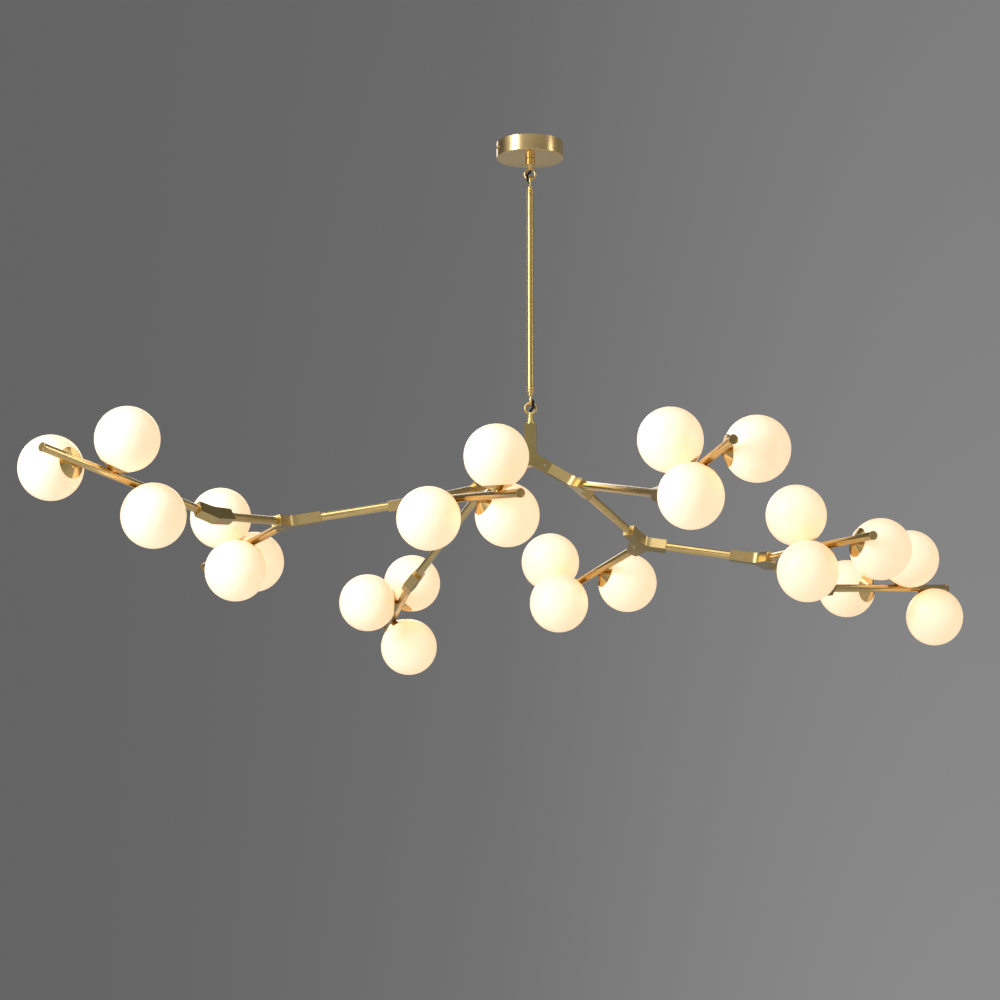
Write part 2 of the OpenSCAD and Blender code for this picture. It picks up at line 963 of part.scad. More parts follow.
module globes(side, k) {
  color("floralwhite")
    in_arm(side, k)
      for (i = [0 : globes_per_arm - 1])
        at_globe(i)
          globe();
}

canopy();
bracket();
bracket_fasteners();
terminal_block();
stem_loop();
supply_cable();
rod_tube();
rod_loops();
rod_cable();
upper_jumper();
lower_jumper();
hub_loop();
hub();
frame_fasteners();
frame_wires();
for (side = sides) {
  links(side);
  for (k = [1 : 3])
    fork(side, k);
  for (k = [1 : 2])
    elbow(side, k);
  for (k = [0 : arms_per_side - 1]) {
    arm(side, k);
    cups(side, k);
    lamps(side, k);
    globes(side, k);
  }
}
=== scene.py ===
# %% [markdown]
# # Branch chandelier
# A brass frame hangs on two pairs of linked loops below a round canopy. It forks three
# times on each half, and every branch ends in an arm with three lit opal globes.
# The solids come packed from the CAD model. This lesson gives them their finishes, and
# rebuilds what is seen closely: turned tubes, spun cups, blown globes and small screws.

# %% Load the frame
import math
import bmesh
import bpy
from mathutils import Matrix, Vector


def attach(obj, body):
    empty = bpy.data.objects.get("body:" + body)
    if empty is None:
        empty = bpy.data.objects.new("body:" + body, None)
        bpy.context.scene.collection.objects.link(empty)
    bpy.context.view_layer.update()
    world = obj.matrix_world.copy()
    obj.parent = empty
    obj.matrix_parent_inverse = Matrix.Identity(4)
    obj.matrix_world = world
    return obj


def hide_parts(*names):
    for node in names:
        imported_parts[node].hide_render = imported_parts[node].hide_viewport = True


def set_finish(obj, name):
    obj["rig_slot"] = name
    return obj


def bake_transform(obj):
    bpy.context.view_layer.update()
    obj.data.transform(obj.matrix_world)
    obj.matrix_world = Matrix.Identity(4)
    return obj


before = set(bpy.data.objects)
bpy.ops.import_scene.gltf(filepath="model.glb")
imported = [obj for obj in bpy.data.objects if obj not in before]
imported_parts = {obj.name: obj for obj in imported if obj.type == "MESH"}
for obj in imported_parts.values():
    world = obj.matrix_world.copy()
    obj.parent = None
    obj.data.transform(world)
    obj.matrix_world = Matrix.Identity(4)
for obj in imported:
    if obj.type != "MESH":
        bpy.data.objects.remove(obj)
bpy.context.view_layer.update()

# %% [markdown]
# ## Camera
# The photograph was taken from below with a long lens. The place and the lens were found
# by fitting the outlines of the globes, so the camera needs no shift.

# %% Camera
CAMERA_PLACE = (-0.0603, -7.4096, -2.2772)
CAMERA_PITCH = 11.8
CAMERA_LENS = 138.88

scene = bpy.context.scene
camera = bpy.data.objects.new("camera", bpy.data.cameras.new("camera"))
scene.collection.objects.link(camera)
camera.data.lens = CAMERA_LENS
camera.data.sensor_width = 36
camera.data.clip_end = 200
camera.location = CAMERA_PLACE
camera.rotation_euler = (math.radians(90 + CAMERA_PITCH), 0, 0)
scene.camera = camera
scene.view_settings.view_transform = "Standard"
print("camera lens", CAMERA_LENS, "mm, pitch", CAMERA_PITCH)

# %% [markdown]
# ## Node helpers
# A material is a small graph. These helpers add a node, set its plain values and join it
# to others, so that each finish below reads as a short recipe. A noise gives values close
# to the middle, so the part from 0.3 to 0.7 is spread over the range that is wanted.

# %% Node helpers
NOISE_RANGE = (0.3, 0.7)
RELIEF_DEPTH = 0.0003


def new_material(name):
    material = bpy.data.materials.new(name)
    material.use_nodes = True
    tree = material.node_tree
    shader = next(n for n in tree.nodes if n.type == "BSDF_PRINCIPLED")
    return material, tree, shader


def add(tree, kind, inputs=None, **settings):
    node = tree.nodes.new(kind)
    for key, value in settings.items():
        setattr(node, key, value)
    for key, value in (inputs or {}).items():
        if isinstance(value, bpy.types.NodeSocket):
            tree.links.new(value, node.inputs[key])
        else:
            node.inputs[key].default_value = value
    return node


def ramp(tree, factor, stops):
    node = add(tree, "ShaderNodeValToRGB", {"Fac": factor})
    for index, (place, colour) in enumerate(stops):
        made = node.color_ramp.elements
        element = made[index] if index < 2 else made.new(place)
        element.position = place
        element.color = (*colour, 1)
    return node.outputs["Color"]


def noise(tree, vector, scale, detail=3, stretch=(1, 1, 1)):
    mapped = add(tree, "ShaderNodeMapping", {"Vector": vector, "Scale": stretch})
    values = {"Vector": mapped.outputs["Vector"], "Scale": scale, "Detail": detail}
    return add(tree, "ShaderNodeTexNoise", values).outputs["Fac"]


def mapped_range(tree, value, start, end, low=0.0, high=1.0, smooth=False):
    values = {"Value": value, "From Min": start, "From Max": end, "To Min": low, "To Max": high}
    kind = "SMOOTHSTEP" if smooth else "LINEAR"
    node = add(tree, "ShaderNodeMapRange", values, interpolation_type=kind)
    return node.outputs["Result"]


def math_of(tree, operation, first, second):
    return add(tree, "ShaderNodeMath", {0: first, 1: second}, operation=operation).outputs[0]


def seen_or_mirrored(tree):
    rays = add(tree, "ShaderNodeLightPath").outputs
    return math_of(tree, "MAXIMUM", rays["Is Camera Ray"], rays["Is Glossy Ray"]), rays


def grained(tree, shader, fine, rough, relief):
    low, high = rough
    roughness = mapped_range(tree, fine, *NOISE_RANGE, low, high)
    tree.links.new(roughness, shader.inputs["Roughness"])
    values = {"Strength": relief, "Distance": RELIEF_DEPTH, "Height": fine}
    bump = add(tree, "ShaderNodeBump", values)
    tree.links.new(bump.outputs["Normal"], shader.inputs["Normal"])


print("noise is read from", NOISE_RANGE[0], "to", NOISE_RANGE[1])

# %% [markdown]
# ## Brass
# The real frame is brass-plated in several finishes: satin bars, polished tubes and spun
# cups. All are one recipe with other numbers. A broad noise shifts the colour a little, a
# fine one that is stretched along the brushing changes the roughness and the bump.
# Turned pieces carry a UV map whose U runs along the piece, so their brushing follows it.
# The flat bars have none, so theirs reads Object coordinates. Their broad sides carry painted shade
# that makes them darker than their edges, so each bar also carries an attribute that says which faces
# are flats.

# %% Brass recipe
def brass(name, light, dark, rough, grain, lines, on_uv=False, relief=0.05, flat_shade=None):
    material, tree, shader = new_material(name)
    where = add(tree, "ShaderNodeTexCoord")
    place = where.outputs["Object"]
    along = where.outputs["UV"] if on_uv else place
    broad = noise(tree, place, 9.0)
    cloud = noise(tree, place, 60.0, detail=5)
    fine = noise(tree, along, grain, detail=4, stretch=lines)
    mixed = add(tree, "ShaderNodeMix", {"Factor": 0.35, "A": broad, "B": cloud}, data_type="FLOAT")
    colour = ramp(tree, mixed.outputs["Result"], [(0.38, dark), (0.62, light)])
    # painted shade: a bar's broad sides are multiplied darker than its edges
    if flat_shade:
        on_flat = add(tree, "ShaderNodeAttribute", attribute_name="flat").outputs["Fac"]
        values = {"Factor": on_flat, "A": colour, "B": (*flat_shade, 1)}
        flat_shaded = add(tree, "ShaderNodeMix", values, data_type="RGBA", blend_type="MULTIPLY")
        colour = flat_shaded.outputs["Result"]
    shader.inputs["Metallic"].default_value = 1.0
    tree.links.new(colour, shader.inputs["Base Color"])
    grained(tree, shader, fine, (rough * 0.85, rough * 1.2), relief)
    return material


ALONG = (2, 12, 1)
AROUND = (30, 1, 1)
UPRIGHT = (1, 1, 5)
EVENLY = (1, 1, 1)
# painted shade, multiplied onto the broad sides of the bars
FLAT_SHADE = (0.55, 0.56, 0.5)
finish = {
    "satin_brass": brass(
        "satin brass", (0.76, 0.55, 0.25), (0.66, 0.47, 0.2), 0.24, 9.0, AROUND, True, 0.03),
    "bright_brass": brass(
        "bright brass", (0.7, 0.5, 0.2), (0.6, 0.42, 0.16), 0.26, 6.0, ALONG, True, 0.004),
    "aged_brass": brass(
        "aged brass with painted flat shade", (0.62, 0.46, 0.2), (0.53, 0.39, 0.16), 0.32, 260.0, UPRIGHT, False, 0.08, FLAT_SHADE),
    "rod_brass": brass(
        "rod brass", (0.56, 0.4, 0.15), (0.48, 0.33, 0.12), 0.34, 6.0, ALONG, True, 0.002),
    "tube_brass": brass(
        "tube brass", (0.74, 0.53, 0.23), (0.64, 0.45, 0.18), 0.22, 6.0, ALONG, True, 0.0015),
    "polished_brass": brass(
        "spun brass", (0.82, 0.58, 0.25), (0.7, 0.48, 0.19), 0.17, 8.0, AROUND, True, 0.04),
    "cap_brass": brass(
        "cap brass", (0.4, 0.29, 0.12), (0.3, 0.21, 0.08), 0.3, 8.0, AROUND, True, 0.02),
    "screw_brass": brass(
        "screw brass", (0.6, 0.45, 0.24), (0.48, 0.35, 0.17), 0.3, 200.0, EVENLY),
}
print("brass finishes:", ", ".join(finish))

# %% [markdown]
# ## Steel, plastic and cable
# These hardly show. The bracket and the grub screws are zinc-plated steel, the terminal
# block is moulded, and the cable has a matt black sheath.

# %% Steel, plastic and cable
PLAIN_RELIEF = 0.1


def plain(name, light, dark, rough, scale, metallic=0.0):
    material, tree, shader = new_material(name)
    place = add(tree, "ShaderNodeTexCoord").outputs["Object"]
    broad = noise(tree, place, scale, detail=4)
    fine = noise(tree, place, scale * 12, detail=2)
    shader.inputs["Metallic"].default_value = metallic
    colour = ramp(tree, broad, [(0.35, dark), (0.65, light)])
    tree.links.new(colour, shader.inputs["Base Color"])
    grained(tree, shader, fine, (rough * 0.8, rough * 1.25), PLAIN_RELIEF)
    return material


finish["steel"] = plain("zinc steel", (0.52, 0.53, 0.55), (0.4, 0.41, 0.43), 0.36, 90.0, 1.0)
finish["white_plastic"] = plain("moulded plastic", (0.86, 0.85, 0.8), (0.8, 0.79, 0.74), 0.45, 70.0)
finish["black_cable"] = plain("cable sheath", (0.012, 0.012, 0.013), (0.006, 0.006, 0.007), 0.55, 160.0)
sheath = finish["black_cable"].node_tree.nodes["Principled BSDF"]
sheath.inputs["Specular IOR Level"].default_value = 0.12
finish["lamp_white"] = plain("lamp ceramic", (0.88, 0.86, 0.8), (0.8, 0.78, 0.72), 0.3, 60.0)
print("other finishes:", ", ".join(list(finish)[-4:]))

# %% [markdown]
# ## Opal glass
# An opal globe is a white flashed layer on clear glass, lit from inside. Seen from
# outside it is a satin white surface that glows evenly. A warm ring near the cup is what
# shows that the lamp stands off-centre. The glow reads the V of the globe's UV map, which
# runs from the mouth (0) to the pole (1). In the brass around it the glow is mirrored less
# strongly than it is seen, so that the tubes keep their own colour.

# %% Opal glass
WARMTH = [(0.0, (1.0, 0.58, 0.24)), (0.3, (1.0, 0.65, 0.31)), (1.0, (1.0, 0.69, 0.34))]
GLOW_SEEN, GLOW_MIRRORED = 0.8, 0.5


def opal(name):
    material, tree, shader = new_material(name)
    where = add(tree, "ShaderNodeTexCoord")
    up = add(tree, "ShaderNodeSeparateXYZ", {"Vector": where.outputs["UV"]}).outputs["Y"]
    wave = noise(tree, where.outputs["Object"], 30.0, detail=2)
    shader.inputs["Roughness"].default_value = 0.36
    shader.inputs["Specular IOR Level"].default_value = 0.35
    shader.inputs["Coat Weight"].default_value = 0.08
    white = ramp(tree, wave, [(0.3, (0.8, 0.79, 0.77)), (0.7, (0.83, 0.82, 0.8))])
    tree.links.new(white, shader.inputs["Base Color"])
    tree.links.new(ramp(tree, up, WARMTH), shader.inputs["Emission Color"])
    mirrored = add(tree, "ShaderNodeLightPath").outputs["Is Glossy Ray"]
    power = mapped_range(tree, mirrored, 0.0, 1.0, GLOW_SEEN, GLOW_MIRRORED)
    tree.links.new(power, shader.inputs["Emission Strength"])
    return material


def lamp_glow(name):
    material, tree, shader = new_material(name)
    wave = noise(tree, add(tree, "ShaderNodeTexCoord").outputs["Object"], 120.0)
    yellow = ramp(tree, wave, [(0.3, (0.9, 0.8, 0.5)), (0.7, (0.95, 0.88, 0.62))])
    tree.links.new(yellow, shader.inputs["Base Color"])
    shader.inputs["Emission Color"].default_value = (1.0, 0.8, 0.5, 1)
    shader.inputs["Emission Strength"].default_value = 1.2
    return material


finish["opal_glass"] = opal("opal glass")
finish["lamp_glow"] = lamp_glow("lamp glow")
print("glass finishes ready")

# %% [markdown]
# ## Placing and checking in
# Each finished piece sits at the origin with its place in its mesh, rides on a body,
# stands for the CAD nodes it covers and takes a material slot of the record.

# %% Check a piece in
pieces_made = []


def check_in(name, mesh, body, slot, nodes, material=None):
    mesh.materials.clear()
    mesh.materials.append(material or finish[slot])
    piece = bpy.data.objects.new(name, mesh)
    scene.collection.objects.link(piece)
    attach(piece, body)
    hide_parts(*nodes)
    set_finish(piece, slot)
    pieces_made.append(name)
    return piece


print("finishes to choose from:", len(finish))

# %% [markdown]
# ## The shape of the frame
# The frame is a chain. Each joint turns the next one about the tube between them, and the
# bars of a fork stand 60 degrees to either side. The same sizes drive the CAD model, so a
# matrix for each arm puts the turned and spun pieces where the solids are.

# %% The chain
MM = 0.001
HUB_Z, HUB_TURN, HUB_SPREAD = -644.8, -7.5, 31.5
FORK_ANGLE = 60
FORK_SHORT, FORK_LONG = 46, 60
ELBOW_IN, ELBOW_OUT, ELBOW_BEND = 50, 44, 16
LINK = {"near": 160, "mid": 130, "end": 145, "side": 380}
SOCKET, ELBOW_SOCKET, PLAY = 18, 38, 0.3
FORK_TURNS = {"r": (88, 153.5, -166.5), "l": (88, 153, -168.5)}
ELBOW_TURNS = {"r": (-38, -59.5), "l": (-15, -69)}
ARM_TURNS = {"r": (103.5, -89, 29, -31.5), "l": (-46, -67.5, -140.5, -85)}


def turned(axis, degrees):
    return Matrix.Rotation(math.radians(degrees), 4, axis)


def moved(x, y=0, z=0):
    return Matrix.Translation((x * MM, y * MM, z * MM))


def chain(side):
    half_turn = 180 if side == "l" else 0
    middle = moved(0, 0, HUB_Z) @ turned("Z", HUB_TURN + half_turn)
    places = {"hub": middle @ turned("Y", HUB_SPREAD)}
    first, second, third = FORK_TURNS[side]
    up, down = turned("Y", -FORK_ANGLE), turned("Y", FORK_ANGLE)
    places["fork_1"] = places["hub"] @ moved(FORK_SHORT + FORK_LONG) @ turned("X", first)
    places["near"] = places["fork_1"] @ down
    places["side"] = places["fork_1"] @ up
    reach = FORK_SHORT + LINK["near"] + FORK_LONG
    places["fork_2"] = places["near"] @ moved(reach) @ turned("X", second)
    places["mid"] = places["fork_2"] @ down
    reach = FORK_SHORT + LINK["mid"] + FORK_LONG
    places["fork_3"] = places["mid"] @ moved(reach) @ turned("X", third)
    places["end"] = places["fork_3"] @ down
    bend = turned("Y", -ELBOW_BEND)
    for number, link in ((1, "side"), (2, "end")):
        reach = FORK_SHORT + LINK[link] + ELBOW_IN
        turn = turned("X", ELBOW_TURNS[side][number - 1])
        places[f"elbow_{number}"] = places[link] @ moved(reach) @ turn
    starts = (
        places["elbow_1"] @ bend @ moved(ELBOW_OUT),
        places["fork_2"] @ up @ moved(FORK_SHORT),
        places["fork_3"] @ up @ moved(FORK_SHORT),
        places["elbow_2"] @ bend @ moved(ELBOW_OUT),
    )
    for number, start in enumerate(starts, 1):
        places[f"arm_{number}"] = start @ turned("X", ARM_TURNS[side][number - 1])
    return places


places = {side: chain(side) for side in "rl"}
arms = []
for side in "rl":
    arms += [(f"{side}{number}", places[side][f"arm_{number}"]) for number in (1, 2, 3, 4)]
print("arms:", ", ".join(name for name, place in arms))

# %% [markdown]
# ## Turned shapes
# Tubes, caps, cups, globes and lamps are all shapes of revolution. One helper spins a
# profile of (along, radius) points about X, closes it into a solid, and writes the UV map
# that the finishes read: U along the profile and V around the axis, or the other way for
# a globe.

# %% Spin a profile
ROUND_STEPS = 64
SMOOTH_BELOW = math.radians(35)


def spun(name, profile, steps=ROUND_STEPS, closed=True, flip_uv=False, about="X"):
    mesh = bpy.data.meshes.new(name)
    shape = bmesh.new()
    uv = shape.loops.layers.uv.new("UVMap")
    lengths = [0.0]
    for before, after in zip(profile, profile[1:] + profile[:1]):
        lengths.append(lengths[-1] + math.dist(before, after))
    rings = []
    for along, radius in profile:
        if radius == 0:
            rings.append([shape.verts.new((along * MM, 0, 0))])
            continue
        ring = []
        for step in range(steps):
            angle = 2 * math.pi * step / steps
            y, z = radius * math.cos(angle), radius * math.sin(angle)
            ring.append(shape.verts.new((along * MM, y * MM, z * MM)))
        rings.append(ring)
    pairs = len(rings) if closed else len(rings) - 1
    for index in range(pairs):
        near, far = rings[index], rings[(index + 1) % len(rings)]
        if len(near) == 1 and len(far) == 1:
            continue
        for step in range(steps):
            following = (step + 1) % steps
            corners = [(near, step, index, step), (near, following, index, step + 1)]
            corners += [(far, following, index + 1, step + 1), (far, step, index + 1, step)]
            if len(near) == 1:
                corners = [(near, 0, index, step)] + corners[2:]
            elif len(far) == 1:
                corners = corners[:2] + [(far, 0, index + 1, step)]
            face = shape.faces.new([ring[at] for ring, at, row, column in corners])
            face.smooth = True
            for loop, (ring, at, row, column) in zip(face.loops, corners):
                run, round_it = lengths[row] / lengths[-1], column / steps
                loop[uv].uv = (round_it, run) if flip_uv else (run, round_it)
    bmesh.ops.recalc_face_normals(shape, faces=shape.faces)
    if about == "Z":
        upright = Matrix.Rotation(math.radians(-90), 3, "Y")
        bmesh.ops.rotate(shape, verts=shape.verts, matrix=upright)
    shape.to_mesh(mesh)
    shape.free()
    mesh.set_sharp_from_angle(angle=SMOOTH_BELOW)
    return mesh


def round_corner(centre, radius, start, end, steps=5):
    angles = [math.radians(start + (end - start) * i / steps) for i in range(steps + 1)]
    return [(centre[0] + radius * math.cos(a), centre[1] + radius * math.sin(a)) for a in angles]


print("steps round a turned piece:", ROUND_STEPS)

# %% [markdown]
# ## Tubes
# The link and arm tubes are drawn brass with a tiny rounded lip at each end. The lip
# catches a thin line of light where a tube leaves its socket or meets its cap.

# %% Tubes
TUBE_R, TUBE_IN = 8, 6.8
LIP, SEAT, FIT = 0.3, 0.1, 0.02


def tube(name, start, end, radius=TUBE_R, inside=TUBE_IN):
    outline = [(start, inside)]
    outline += round_corner((start + LIP, radius - LIP), LIP, 180, 90)
    outline += round_corner((end - LIP, radius - LIP), LIP, 90, 0)
    outline += [(end, inside)]
    return spun(name, outline)


def joined(meshes, name):
    shape = bmesh.new()
    for mesh in meshes:
        shape.from_mesh(mesh)
    whole = bpy.data.meshes.new(name)
    shape.to_mesh(whole)
    shape.free()
    return whole


in_fork, in_elbow = SOCKET - SEAT, ELBOW_SOCKET - PLAY
for side in "rl":
    runs = [("hub", FORK_SHORT - in_fork, FORK_SHORT + in_fork)]
    for link, far in (("near", in_fork), ("mid", in_fork), ("end", in_elbow), ("side", in_elbow)):
        runs.append((link, FORK_SHORT - in_fork, FORK_SHORT + LINK[link] + far))
    tubes = []
    for link, start, end in runs:
        mesh = tube(link, start, end)
        mesh.transform(places[side][link])
        tubes.append(mesh)
    name = f"link_tubes_{side}"
    check_in(name, joined(tubes, name), "frame", "tube_brass", [f"links_{side}"])
print("link tubes made for both halves")

# %% [markdown]
# ## Arm tubes and caps
# Every arm ends in a turned cap, a little wider than its tube and with a shallow dish in
# its face. The caps are darker than the tubes in the photograph, so they have a finish of
# their own. Both are spun, since a profile gives the rounded rim that catches the light.

# %% Arm tubes and caps
GLOBES_PER_ARM, GLOBE_FIRST, GLOBE_PITCH, ARM_TAIL = 3, 141, 82, 89
ARM_LENGTH = GLOBE_FIRST + (GLOBES_PER_ARM - 1) * GLOBE_PITCH + ARM_TAIL
CAP_R, CAP_T, CAP_PLUG, CAP_ROUND = 8.8, 3, 8, 0.7
CAP_FACE_R, DISH_R, CAP_DISH = 6.6, 6.2, 0.35
tube_end = ARM_LENGTH - CAP_T
plug_end, plug_r, cap_start = tube_end - CAP_PLUG, TUBE_IN - FIT, tube_end + SEAT
dish = ARM_LENGTH - CAP_DISH
cap_outline = [(plug_end, 0), (plug_end, plug_r), (cap_start, plug_r)]
cap_outline += round_corner((cap_start + LIP, CAP_R - LIP), LIP, 180, 90)
cap_outline += round_corner((ARM_LENGTH - CAP_ROUND, CAP_R - CAP_ROUND), CAP_ROUND, 90, 0)
cap_outline += [(ARM_LENGTH, CAP_FACE_R), (dish, DISH_R), (dish, 0)]
for name, place in arms:
    mesh = tube(f"arm_tube_{name}", PLAY - SOCKET, tube_end)
    mesh.transform(place)
    check_in(f"arm_tube_{name}", mesh, f"arm_{name}", "tube_brass", [f"arm_{name}"])
    cap = spun(f"arm_cap_{name}", cap_outline, closed=False)
    cap.transform(place)
    nodes = [f"arm_{name}"]
    check_in(f"arm_cap_{name}", cap, f"arm_{name}", "tube_brass", nodes, finish["cap_brass"])
print("arm tubes and caps:", len(arms))

# %% [markdown]
# ## Rows by Geometry Nodes
# Each arm carries the same set three times, 82 mm apart, each turned 120 degrees further
# round the tube. That is a rule, so one Geometry Nodes tree makes every row: a mesh line
# gives the places, the index gives the turn, and the set is an input.

# %% The row tree
def painted_end(tree, instances, material):
    real = add(tree, "GeometryNodeRealizeInstances", {"Geometry": instances})
    values = {"Geometry": real.outputs["Geometry"], "Material": material}
    painted = add(tree, "GeometryNodeSetMaterial", values)
    add(tree, "NodeGroupOutput", {"Geometry": painted.outputs["Geometry"]})


def row_tree():
    tree = bpy.data.node_groups.new("row of sets", "GeometryNodeTree")
    face = tree.interface
    face.new_socket("Geometry", in_out="INPUT", socket_type="NodeSocketGeometry")
    for label, kind, value in (
        ("Set", "NodeSocketObject", None),
        ("Count", "NodeSocketInt", 3),
        ("First", "NodeSocketFloat", 0.1),
        ("Pitch", "NodeSocketFloat", 0.08),
        ("Turn", "NodeSocketFloat", 2.0),
        ("Finish", "NodeSocketMaterial", None),
    ):
        socket = face.new_socket(label, in_out="INPUT", socket_type=kind)
        if value is not None:
            socket.default_value = value
    face.new_socket("Geometry", in_out="OUTPUT", socket_type="NodeSocketGeometry")
    source = add(tree, "NodeGroupInput").outputs
    start = add(tree, "ShaderNodeCombineXYZ", {"X": source["First"]})
    step = add(tree, "ShaderNodeCombineXYZ", {"X": source["Pitch"]})
    line = add(tree, "GeometryNodeMeshLine", {"Count": source["Count"]})
    tree.links.new(start.outputs[0], line.inputs["Start Location"])
    tree.links.new(step.outputs[0], line.inputs["Offset"])
    index = add(tree, "GeometryNodeInputIndex").outputs[0]
    spin = add(tree, "ShaderNodeCombineXYZ", {"X": math_of(tree, "MULTIPLY", index, source["Turn"])})
    shape = add(tree, "GeometryNodeObjectInfo", {"Object": source["Set"]})
    put = add(tree, "GeometryNodeInstanceOnPoints", {"Points": line.outputs["Mesh"]})
    tree.links.new(shape.outputs["Geometry"], put.inputs["Instance"])
    tree.links.new(spin.outputs[0], put.inputs["Rotation"])
    painted_end(tree, put.outputs["Instances"], source["Finish"])
    return tree


def baked(tree, mesh, values, name):
    host = bpy.data.objects.new(name + "_host", mesh or bpy.data.meshes.new(name + "_host"))
    scene.collection.objects.link(host)
    modifier = host.modifiers.new("tree", "NODES")
    modifier.node_group = tree
    for item in tree.interface.items_tree:
        if item.item_type == "SOCKET" and item.in_out == "INPUT" and item.name in values:
            modifier[item.identifier] = values[item.name]
    bpy.context.view_layer.update()
    graph = bpy.context.evaluated_depsgraph_get()
    result = bpy.data.meshes.new_from_object(host.evaluated_get(graph), depsgraph=graph)
    result.name = name
    host.modifiers.remove(modifier)
    bpy.data.objects.remove(host)
    return result


def unit(name, mesh):
    made = bpy.data.objects.new(name, mesh)
    scene.collection.objects.link(made)
    return made


ROW = row_tree()
print("row tree has", len(ROW.nodes), "nodes")

# %% [markdown]
# ## The set on an arm
# A set stands out from the tube: cup, threaded stub, lamp holder, the ring that clamps
# the glass from inside, the lamp, and the globe. The profiles give the distance from the
# tube's axis first and the radius second, and the solids point along -Y of the arm.

# %% Profiles of the set
CUP_Z, CUP_H, CUP_RIM, CUP_FLAT, CUP_WALL = 8.1, 9.25, 29, 11.5, 1
GLOBE_R, GLASS, MOUTH_R = 60, 2.2, 19
STUB_Z, STUB_R, STUB_L, WIRE_BORE = 3.4, 5, 12, 2.2
EDGE = 0.4
RING_LIP, RING_T = 4, 2
HOLDER_R, HOLDER_L, LAMP_R, LAMP_L = 9.5, 21, 8, 50
rim_z = CUP_Z + CUP_H
globe_z = rim_z + SEAT + math.sqrt(GLOBE_R ** 2 - (CUP_RIM - CUP_WALL) ** 2)
holder_z = CUP_Z + CUP_WALL + SEAT
stub_top = holder_z + STUB_L
lamp_z = holder_z + HOLDER_L + SEAT
ring_r = MOUTH_R + RING_LIP
inner_r = GLOBE_R - GLASS
ring_z = globe_z - math.sqrt(inner_r ** 2 - ring_r ** 2) + SEAT


def arc(radius, start, end, steps):
    return round_corner((globe_z, 0), radius, start, end, steps)


mouth_out = 180 - math.degrees(math.asin(MOUTH_R / GLOBE_R))
mouth_in = 180 - math.degrees(math.asin(MOUTH_R / inner_r))
globe_outline = arc(GLOBE_R, mouth_out, 0, 48)[:-1] + [(globe_z + GLOBE_R, 0)]
globe_outline += [(globe_z + inner_r, 0)] + arc(inner_r, 0, mouth_in, 48)[1:]
cup_outline = [(CUP_Z, STUB_R + SEAT), (CUP_Z, CUP_FLAT - 0.6), (CUP_Z + 0.25, CUP_FLAT)]
cup_outline += [(rim_z - 0.5, CUP_RIM - 0.05), (rim_z - 0.1, CUP_RIM)]
cup_outline += [(rim_z, CUP_RIM - 0.2), (rim_z, CUP_RIM - 0.8)]
cup_outline += [(CUP_Z + CUP_WALL, CUP_FLAT), (CUP_Z + CUP_WALL, STUB_R + SEAT)]
stub_outline = [(STUB_Z, WIRE_BORE), (STUB_Z, STUB_R - EDGE), (STUB_Z + EDGE, STUB_R)]
stub_outline += [(stub_top - EDGE, STUB_R), (stub_top, STUB_R - EDGE), (stub_top, WIRE_BORE)]
holder_top = holder_z + HOLDER_L
holder_outline = [(holder_z, STUB_R + FIT), (holder_z, HOLDER_R - EDGE)]
holder_outline += [(holder_z + EDGE, HOLDER_R), (holder_top - 2 * EDGE, HOLDER_R)]
holder_outline += [(holder_top, HOLDER_R - 2 * EDGE), (holder_top, 0)]
holder_outline += [(stub_top + SEAT, 0), (stub_top + SEAT, STUB_R + FIT)]
ring_outline = [(ring_z, HOLDER_R + FIT), (ring_z, ring_r - 0.1), (ring_z + 1, ring_r - 0.3)]
ring_outline += [(ring_z + RING_T, ring_r - 1.2), (ring_z + RING_T, HOLDER_R + FIT)]
lamp_outline = [(lamp_z, 0), (lamp_z, LAMP_R - 0.5), (lamp_z + 0.5, LAMP_R)]
lamp_outline += round_corner((lamp_z + LAMP_L - LAMP_R, 0), LAMP_R, 90, 0, 8)[:-1]
lamp_outline += [(lamp_z + LAMP_L, 0)]
print("globe centre", round(globe_z, 2), "mm from the tube's axis")

# %% Rows on the arms
OUTWARDS = Matrix.Rotation(math.radians(-90), 4, "Z")


def set_unit(name, outlines, steps, closed=True, flip_uv=False):
    meshes = [spun(name, outline, steps, closed, flip_uv) for outline in outlines]
    mesh = joined(meshes, name)
    mesh.transform(OUTWARDS.inverted())
    mesh.set_sharp_from_angle(angle=SMOOTH_BELOW)
    return unit(name, mesh)


cup_unit = set_unit("unit_cup", [cup_outline, stub_outline], 72)
globe_unit = set_unit("unit_globe", [globe_outline], 72, flip_uv=True)
holder_unit = set_unit("unit_holder", [holder_outline], 48)
ring_unit = set_unit("unit_ring", [ring_outline], 48)
lamp_unit = set_unit("unit_lamp", [lamp_outline], 32, closed=False)
row_kinds = (
    ("cup", cup_unit, "polished_brass", "cups", None),
    ("globe", globe_unit, "opal_glass", "globes", None),
    ("lamp_holder", holder_unit, "lamp_white", "lamps", None),
    ("glass_ring", ring_unit, "polished_brass", "lamps", None),
    ("lamp", lamp_unit, "lamp_white", "lamps", "lamp_glow"),
)
for kind, shape, slot, node, other in row_kinds:
    for name, place in arms:
        material = finish[other or slot]
        values = {"Set": shape, "Count": GLOBES_PER_ARM, "Finish": material}
        values.update({"First": GLOBE_FIRST * MM, "Pitch": GLOBE_PITCH * MM})
        values["Turn"] = math.radians(360 / GLOBES_PER_ARM)
        mesh = baked(ROW, None, values, f"{kind}_{name}")
        mesh.transform(place)
        check_in(f"{kind}_{name}", mesh, f"arm_{name}", slot, [f"{node}_{name}"], material)
    bpy.data.objects.remove(shape)
    print(kind, "rows:", len(arms), "of", len(mesh.polygons), "faces")
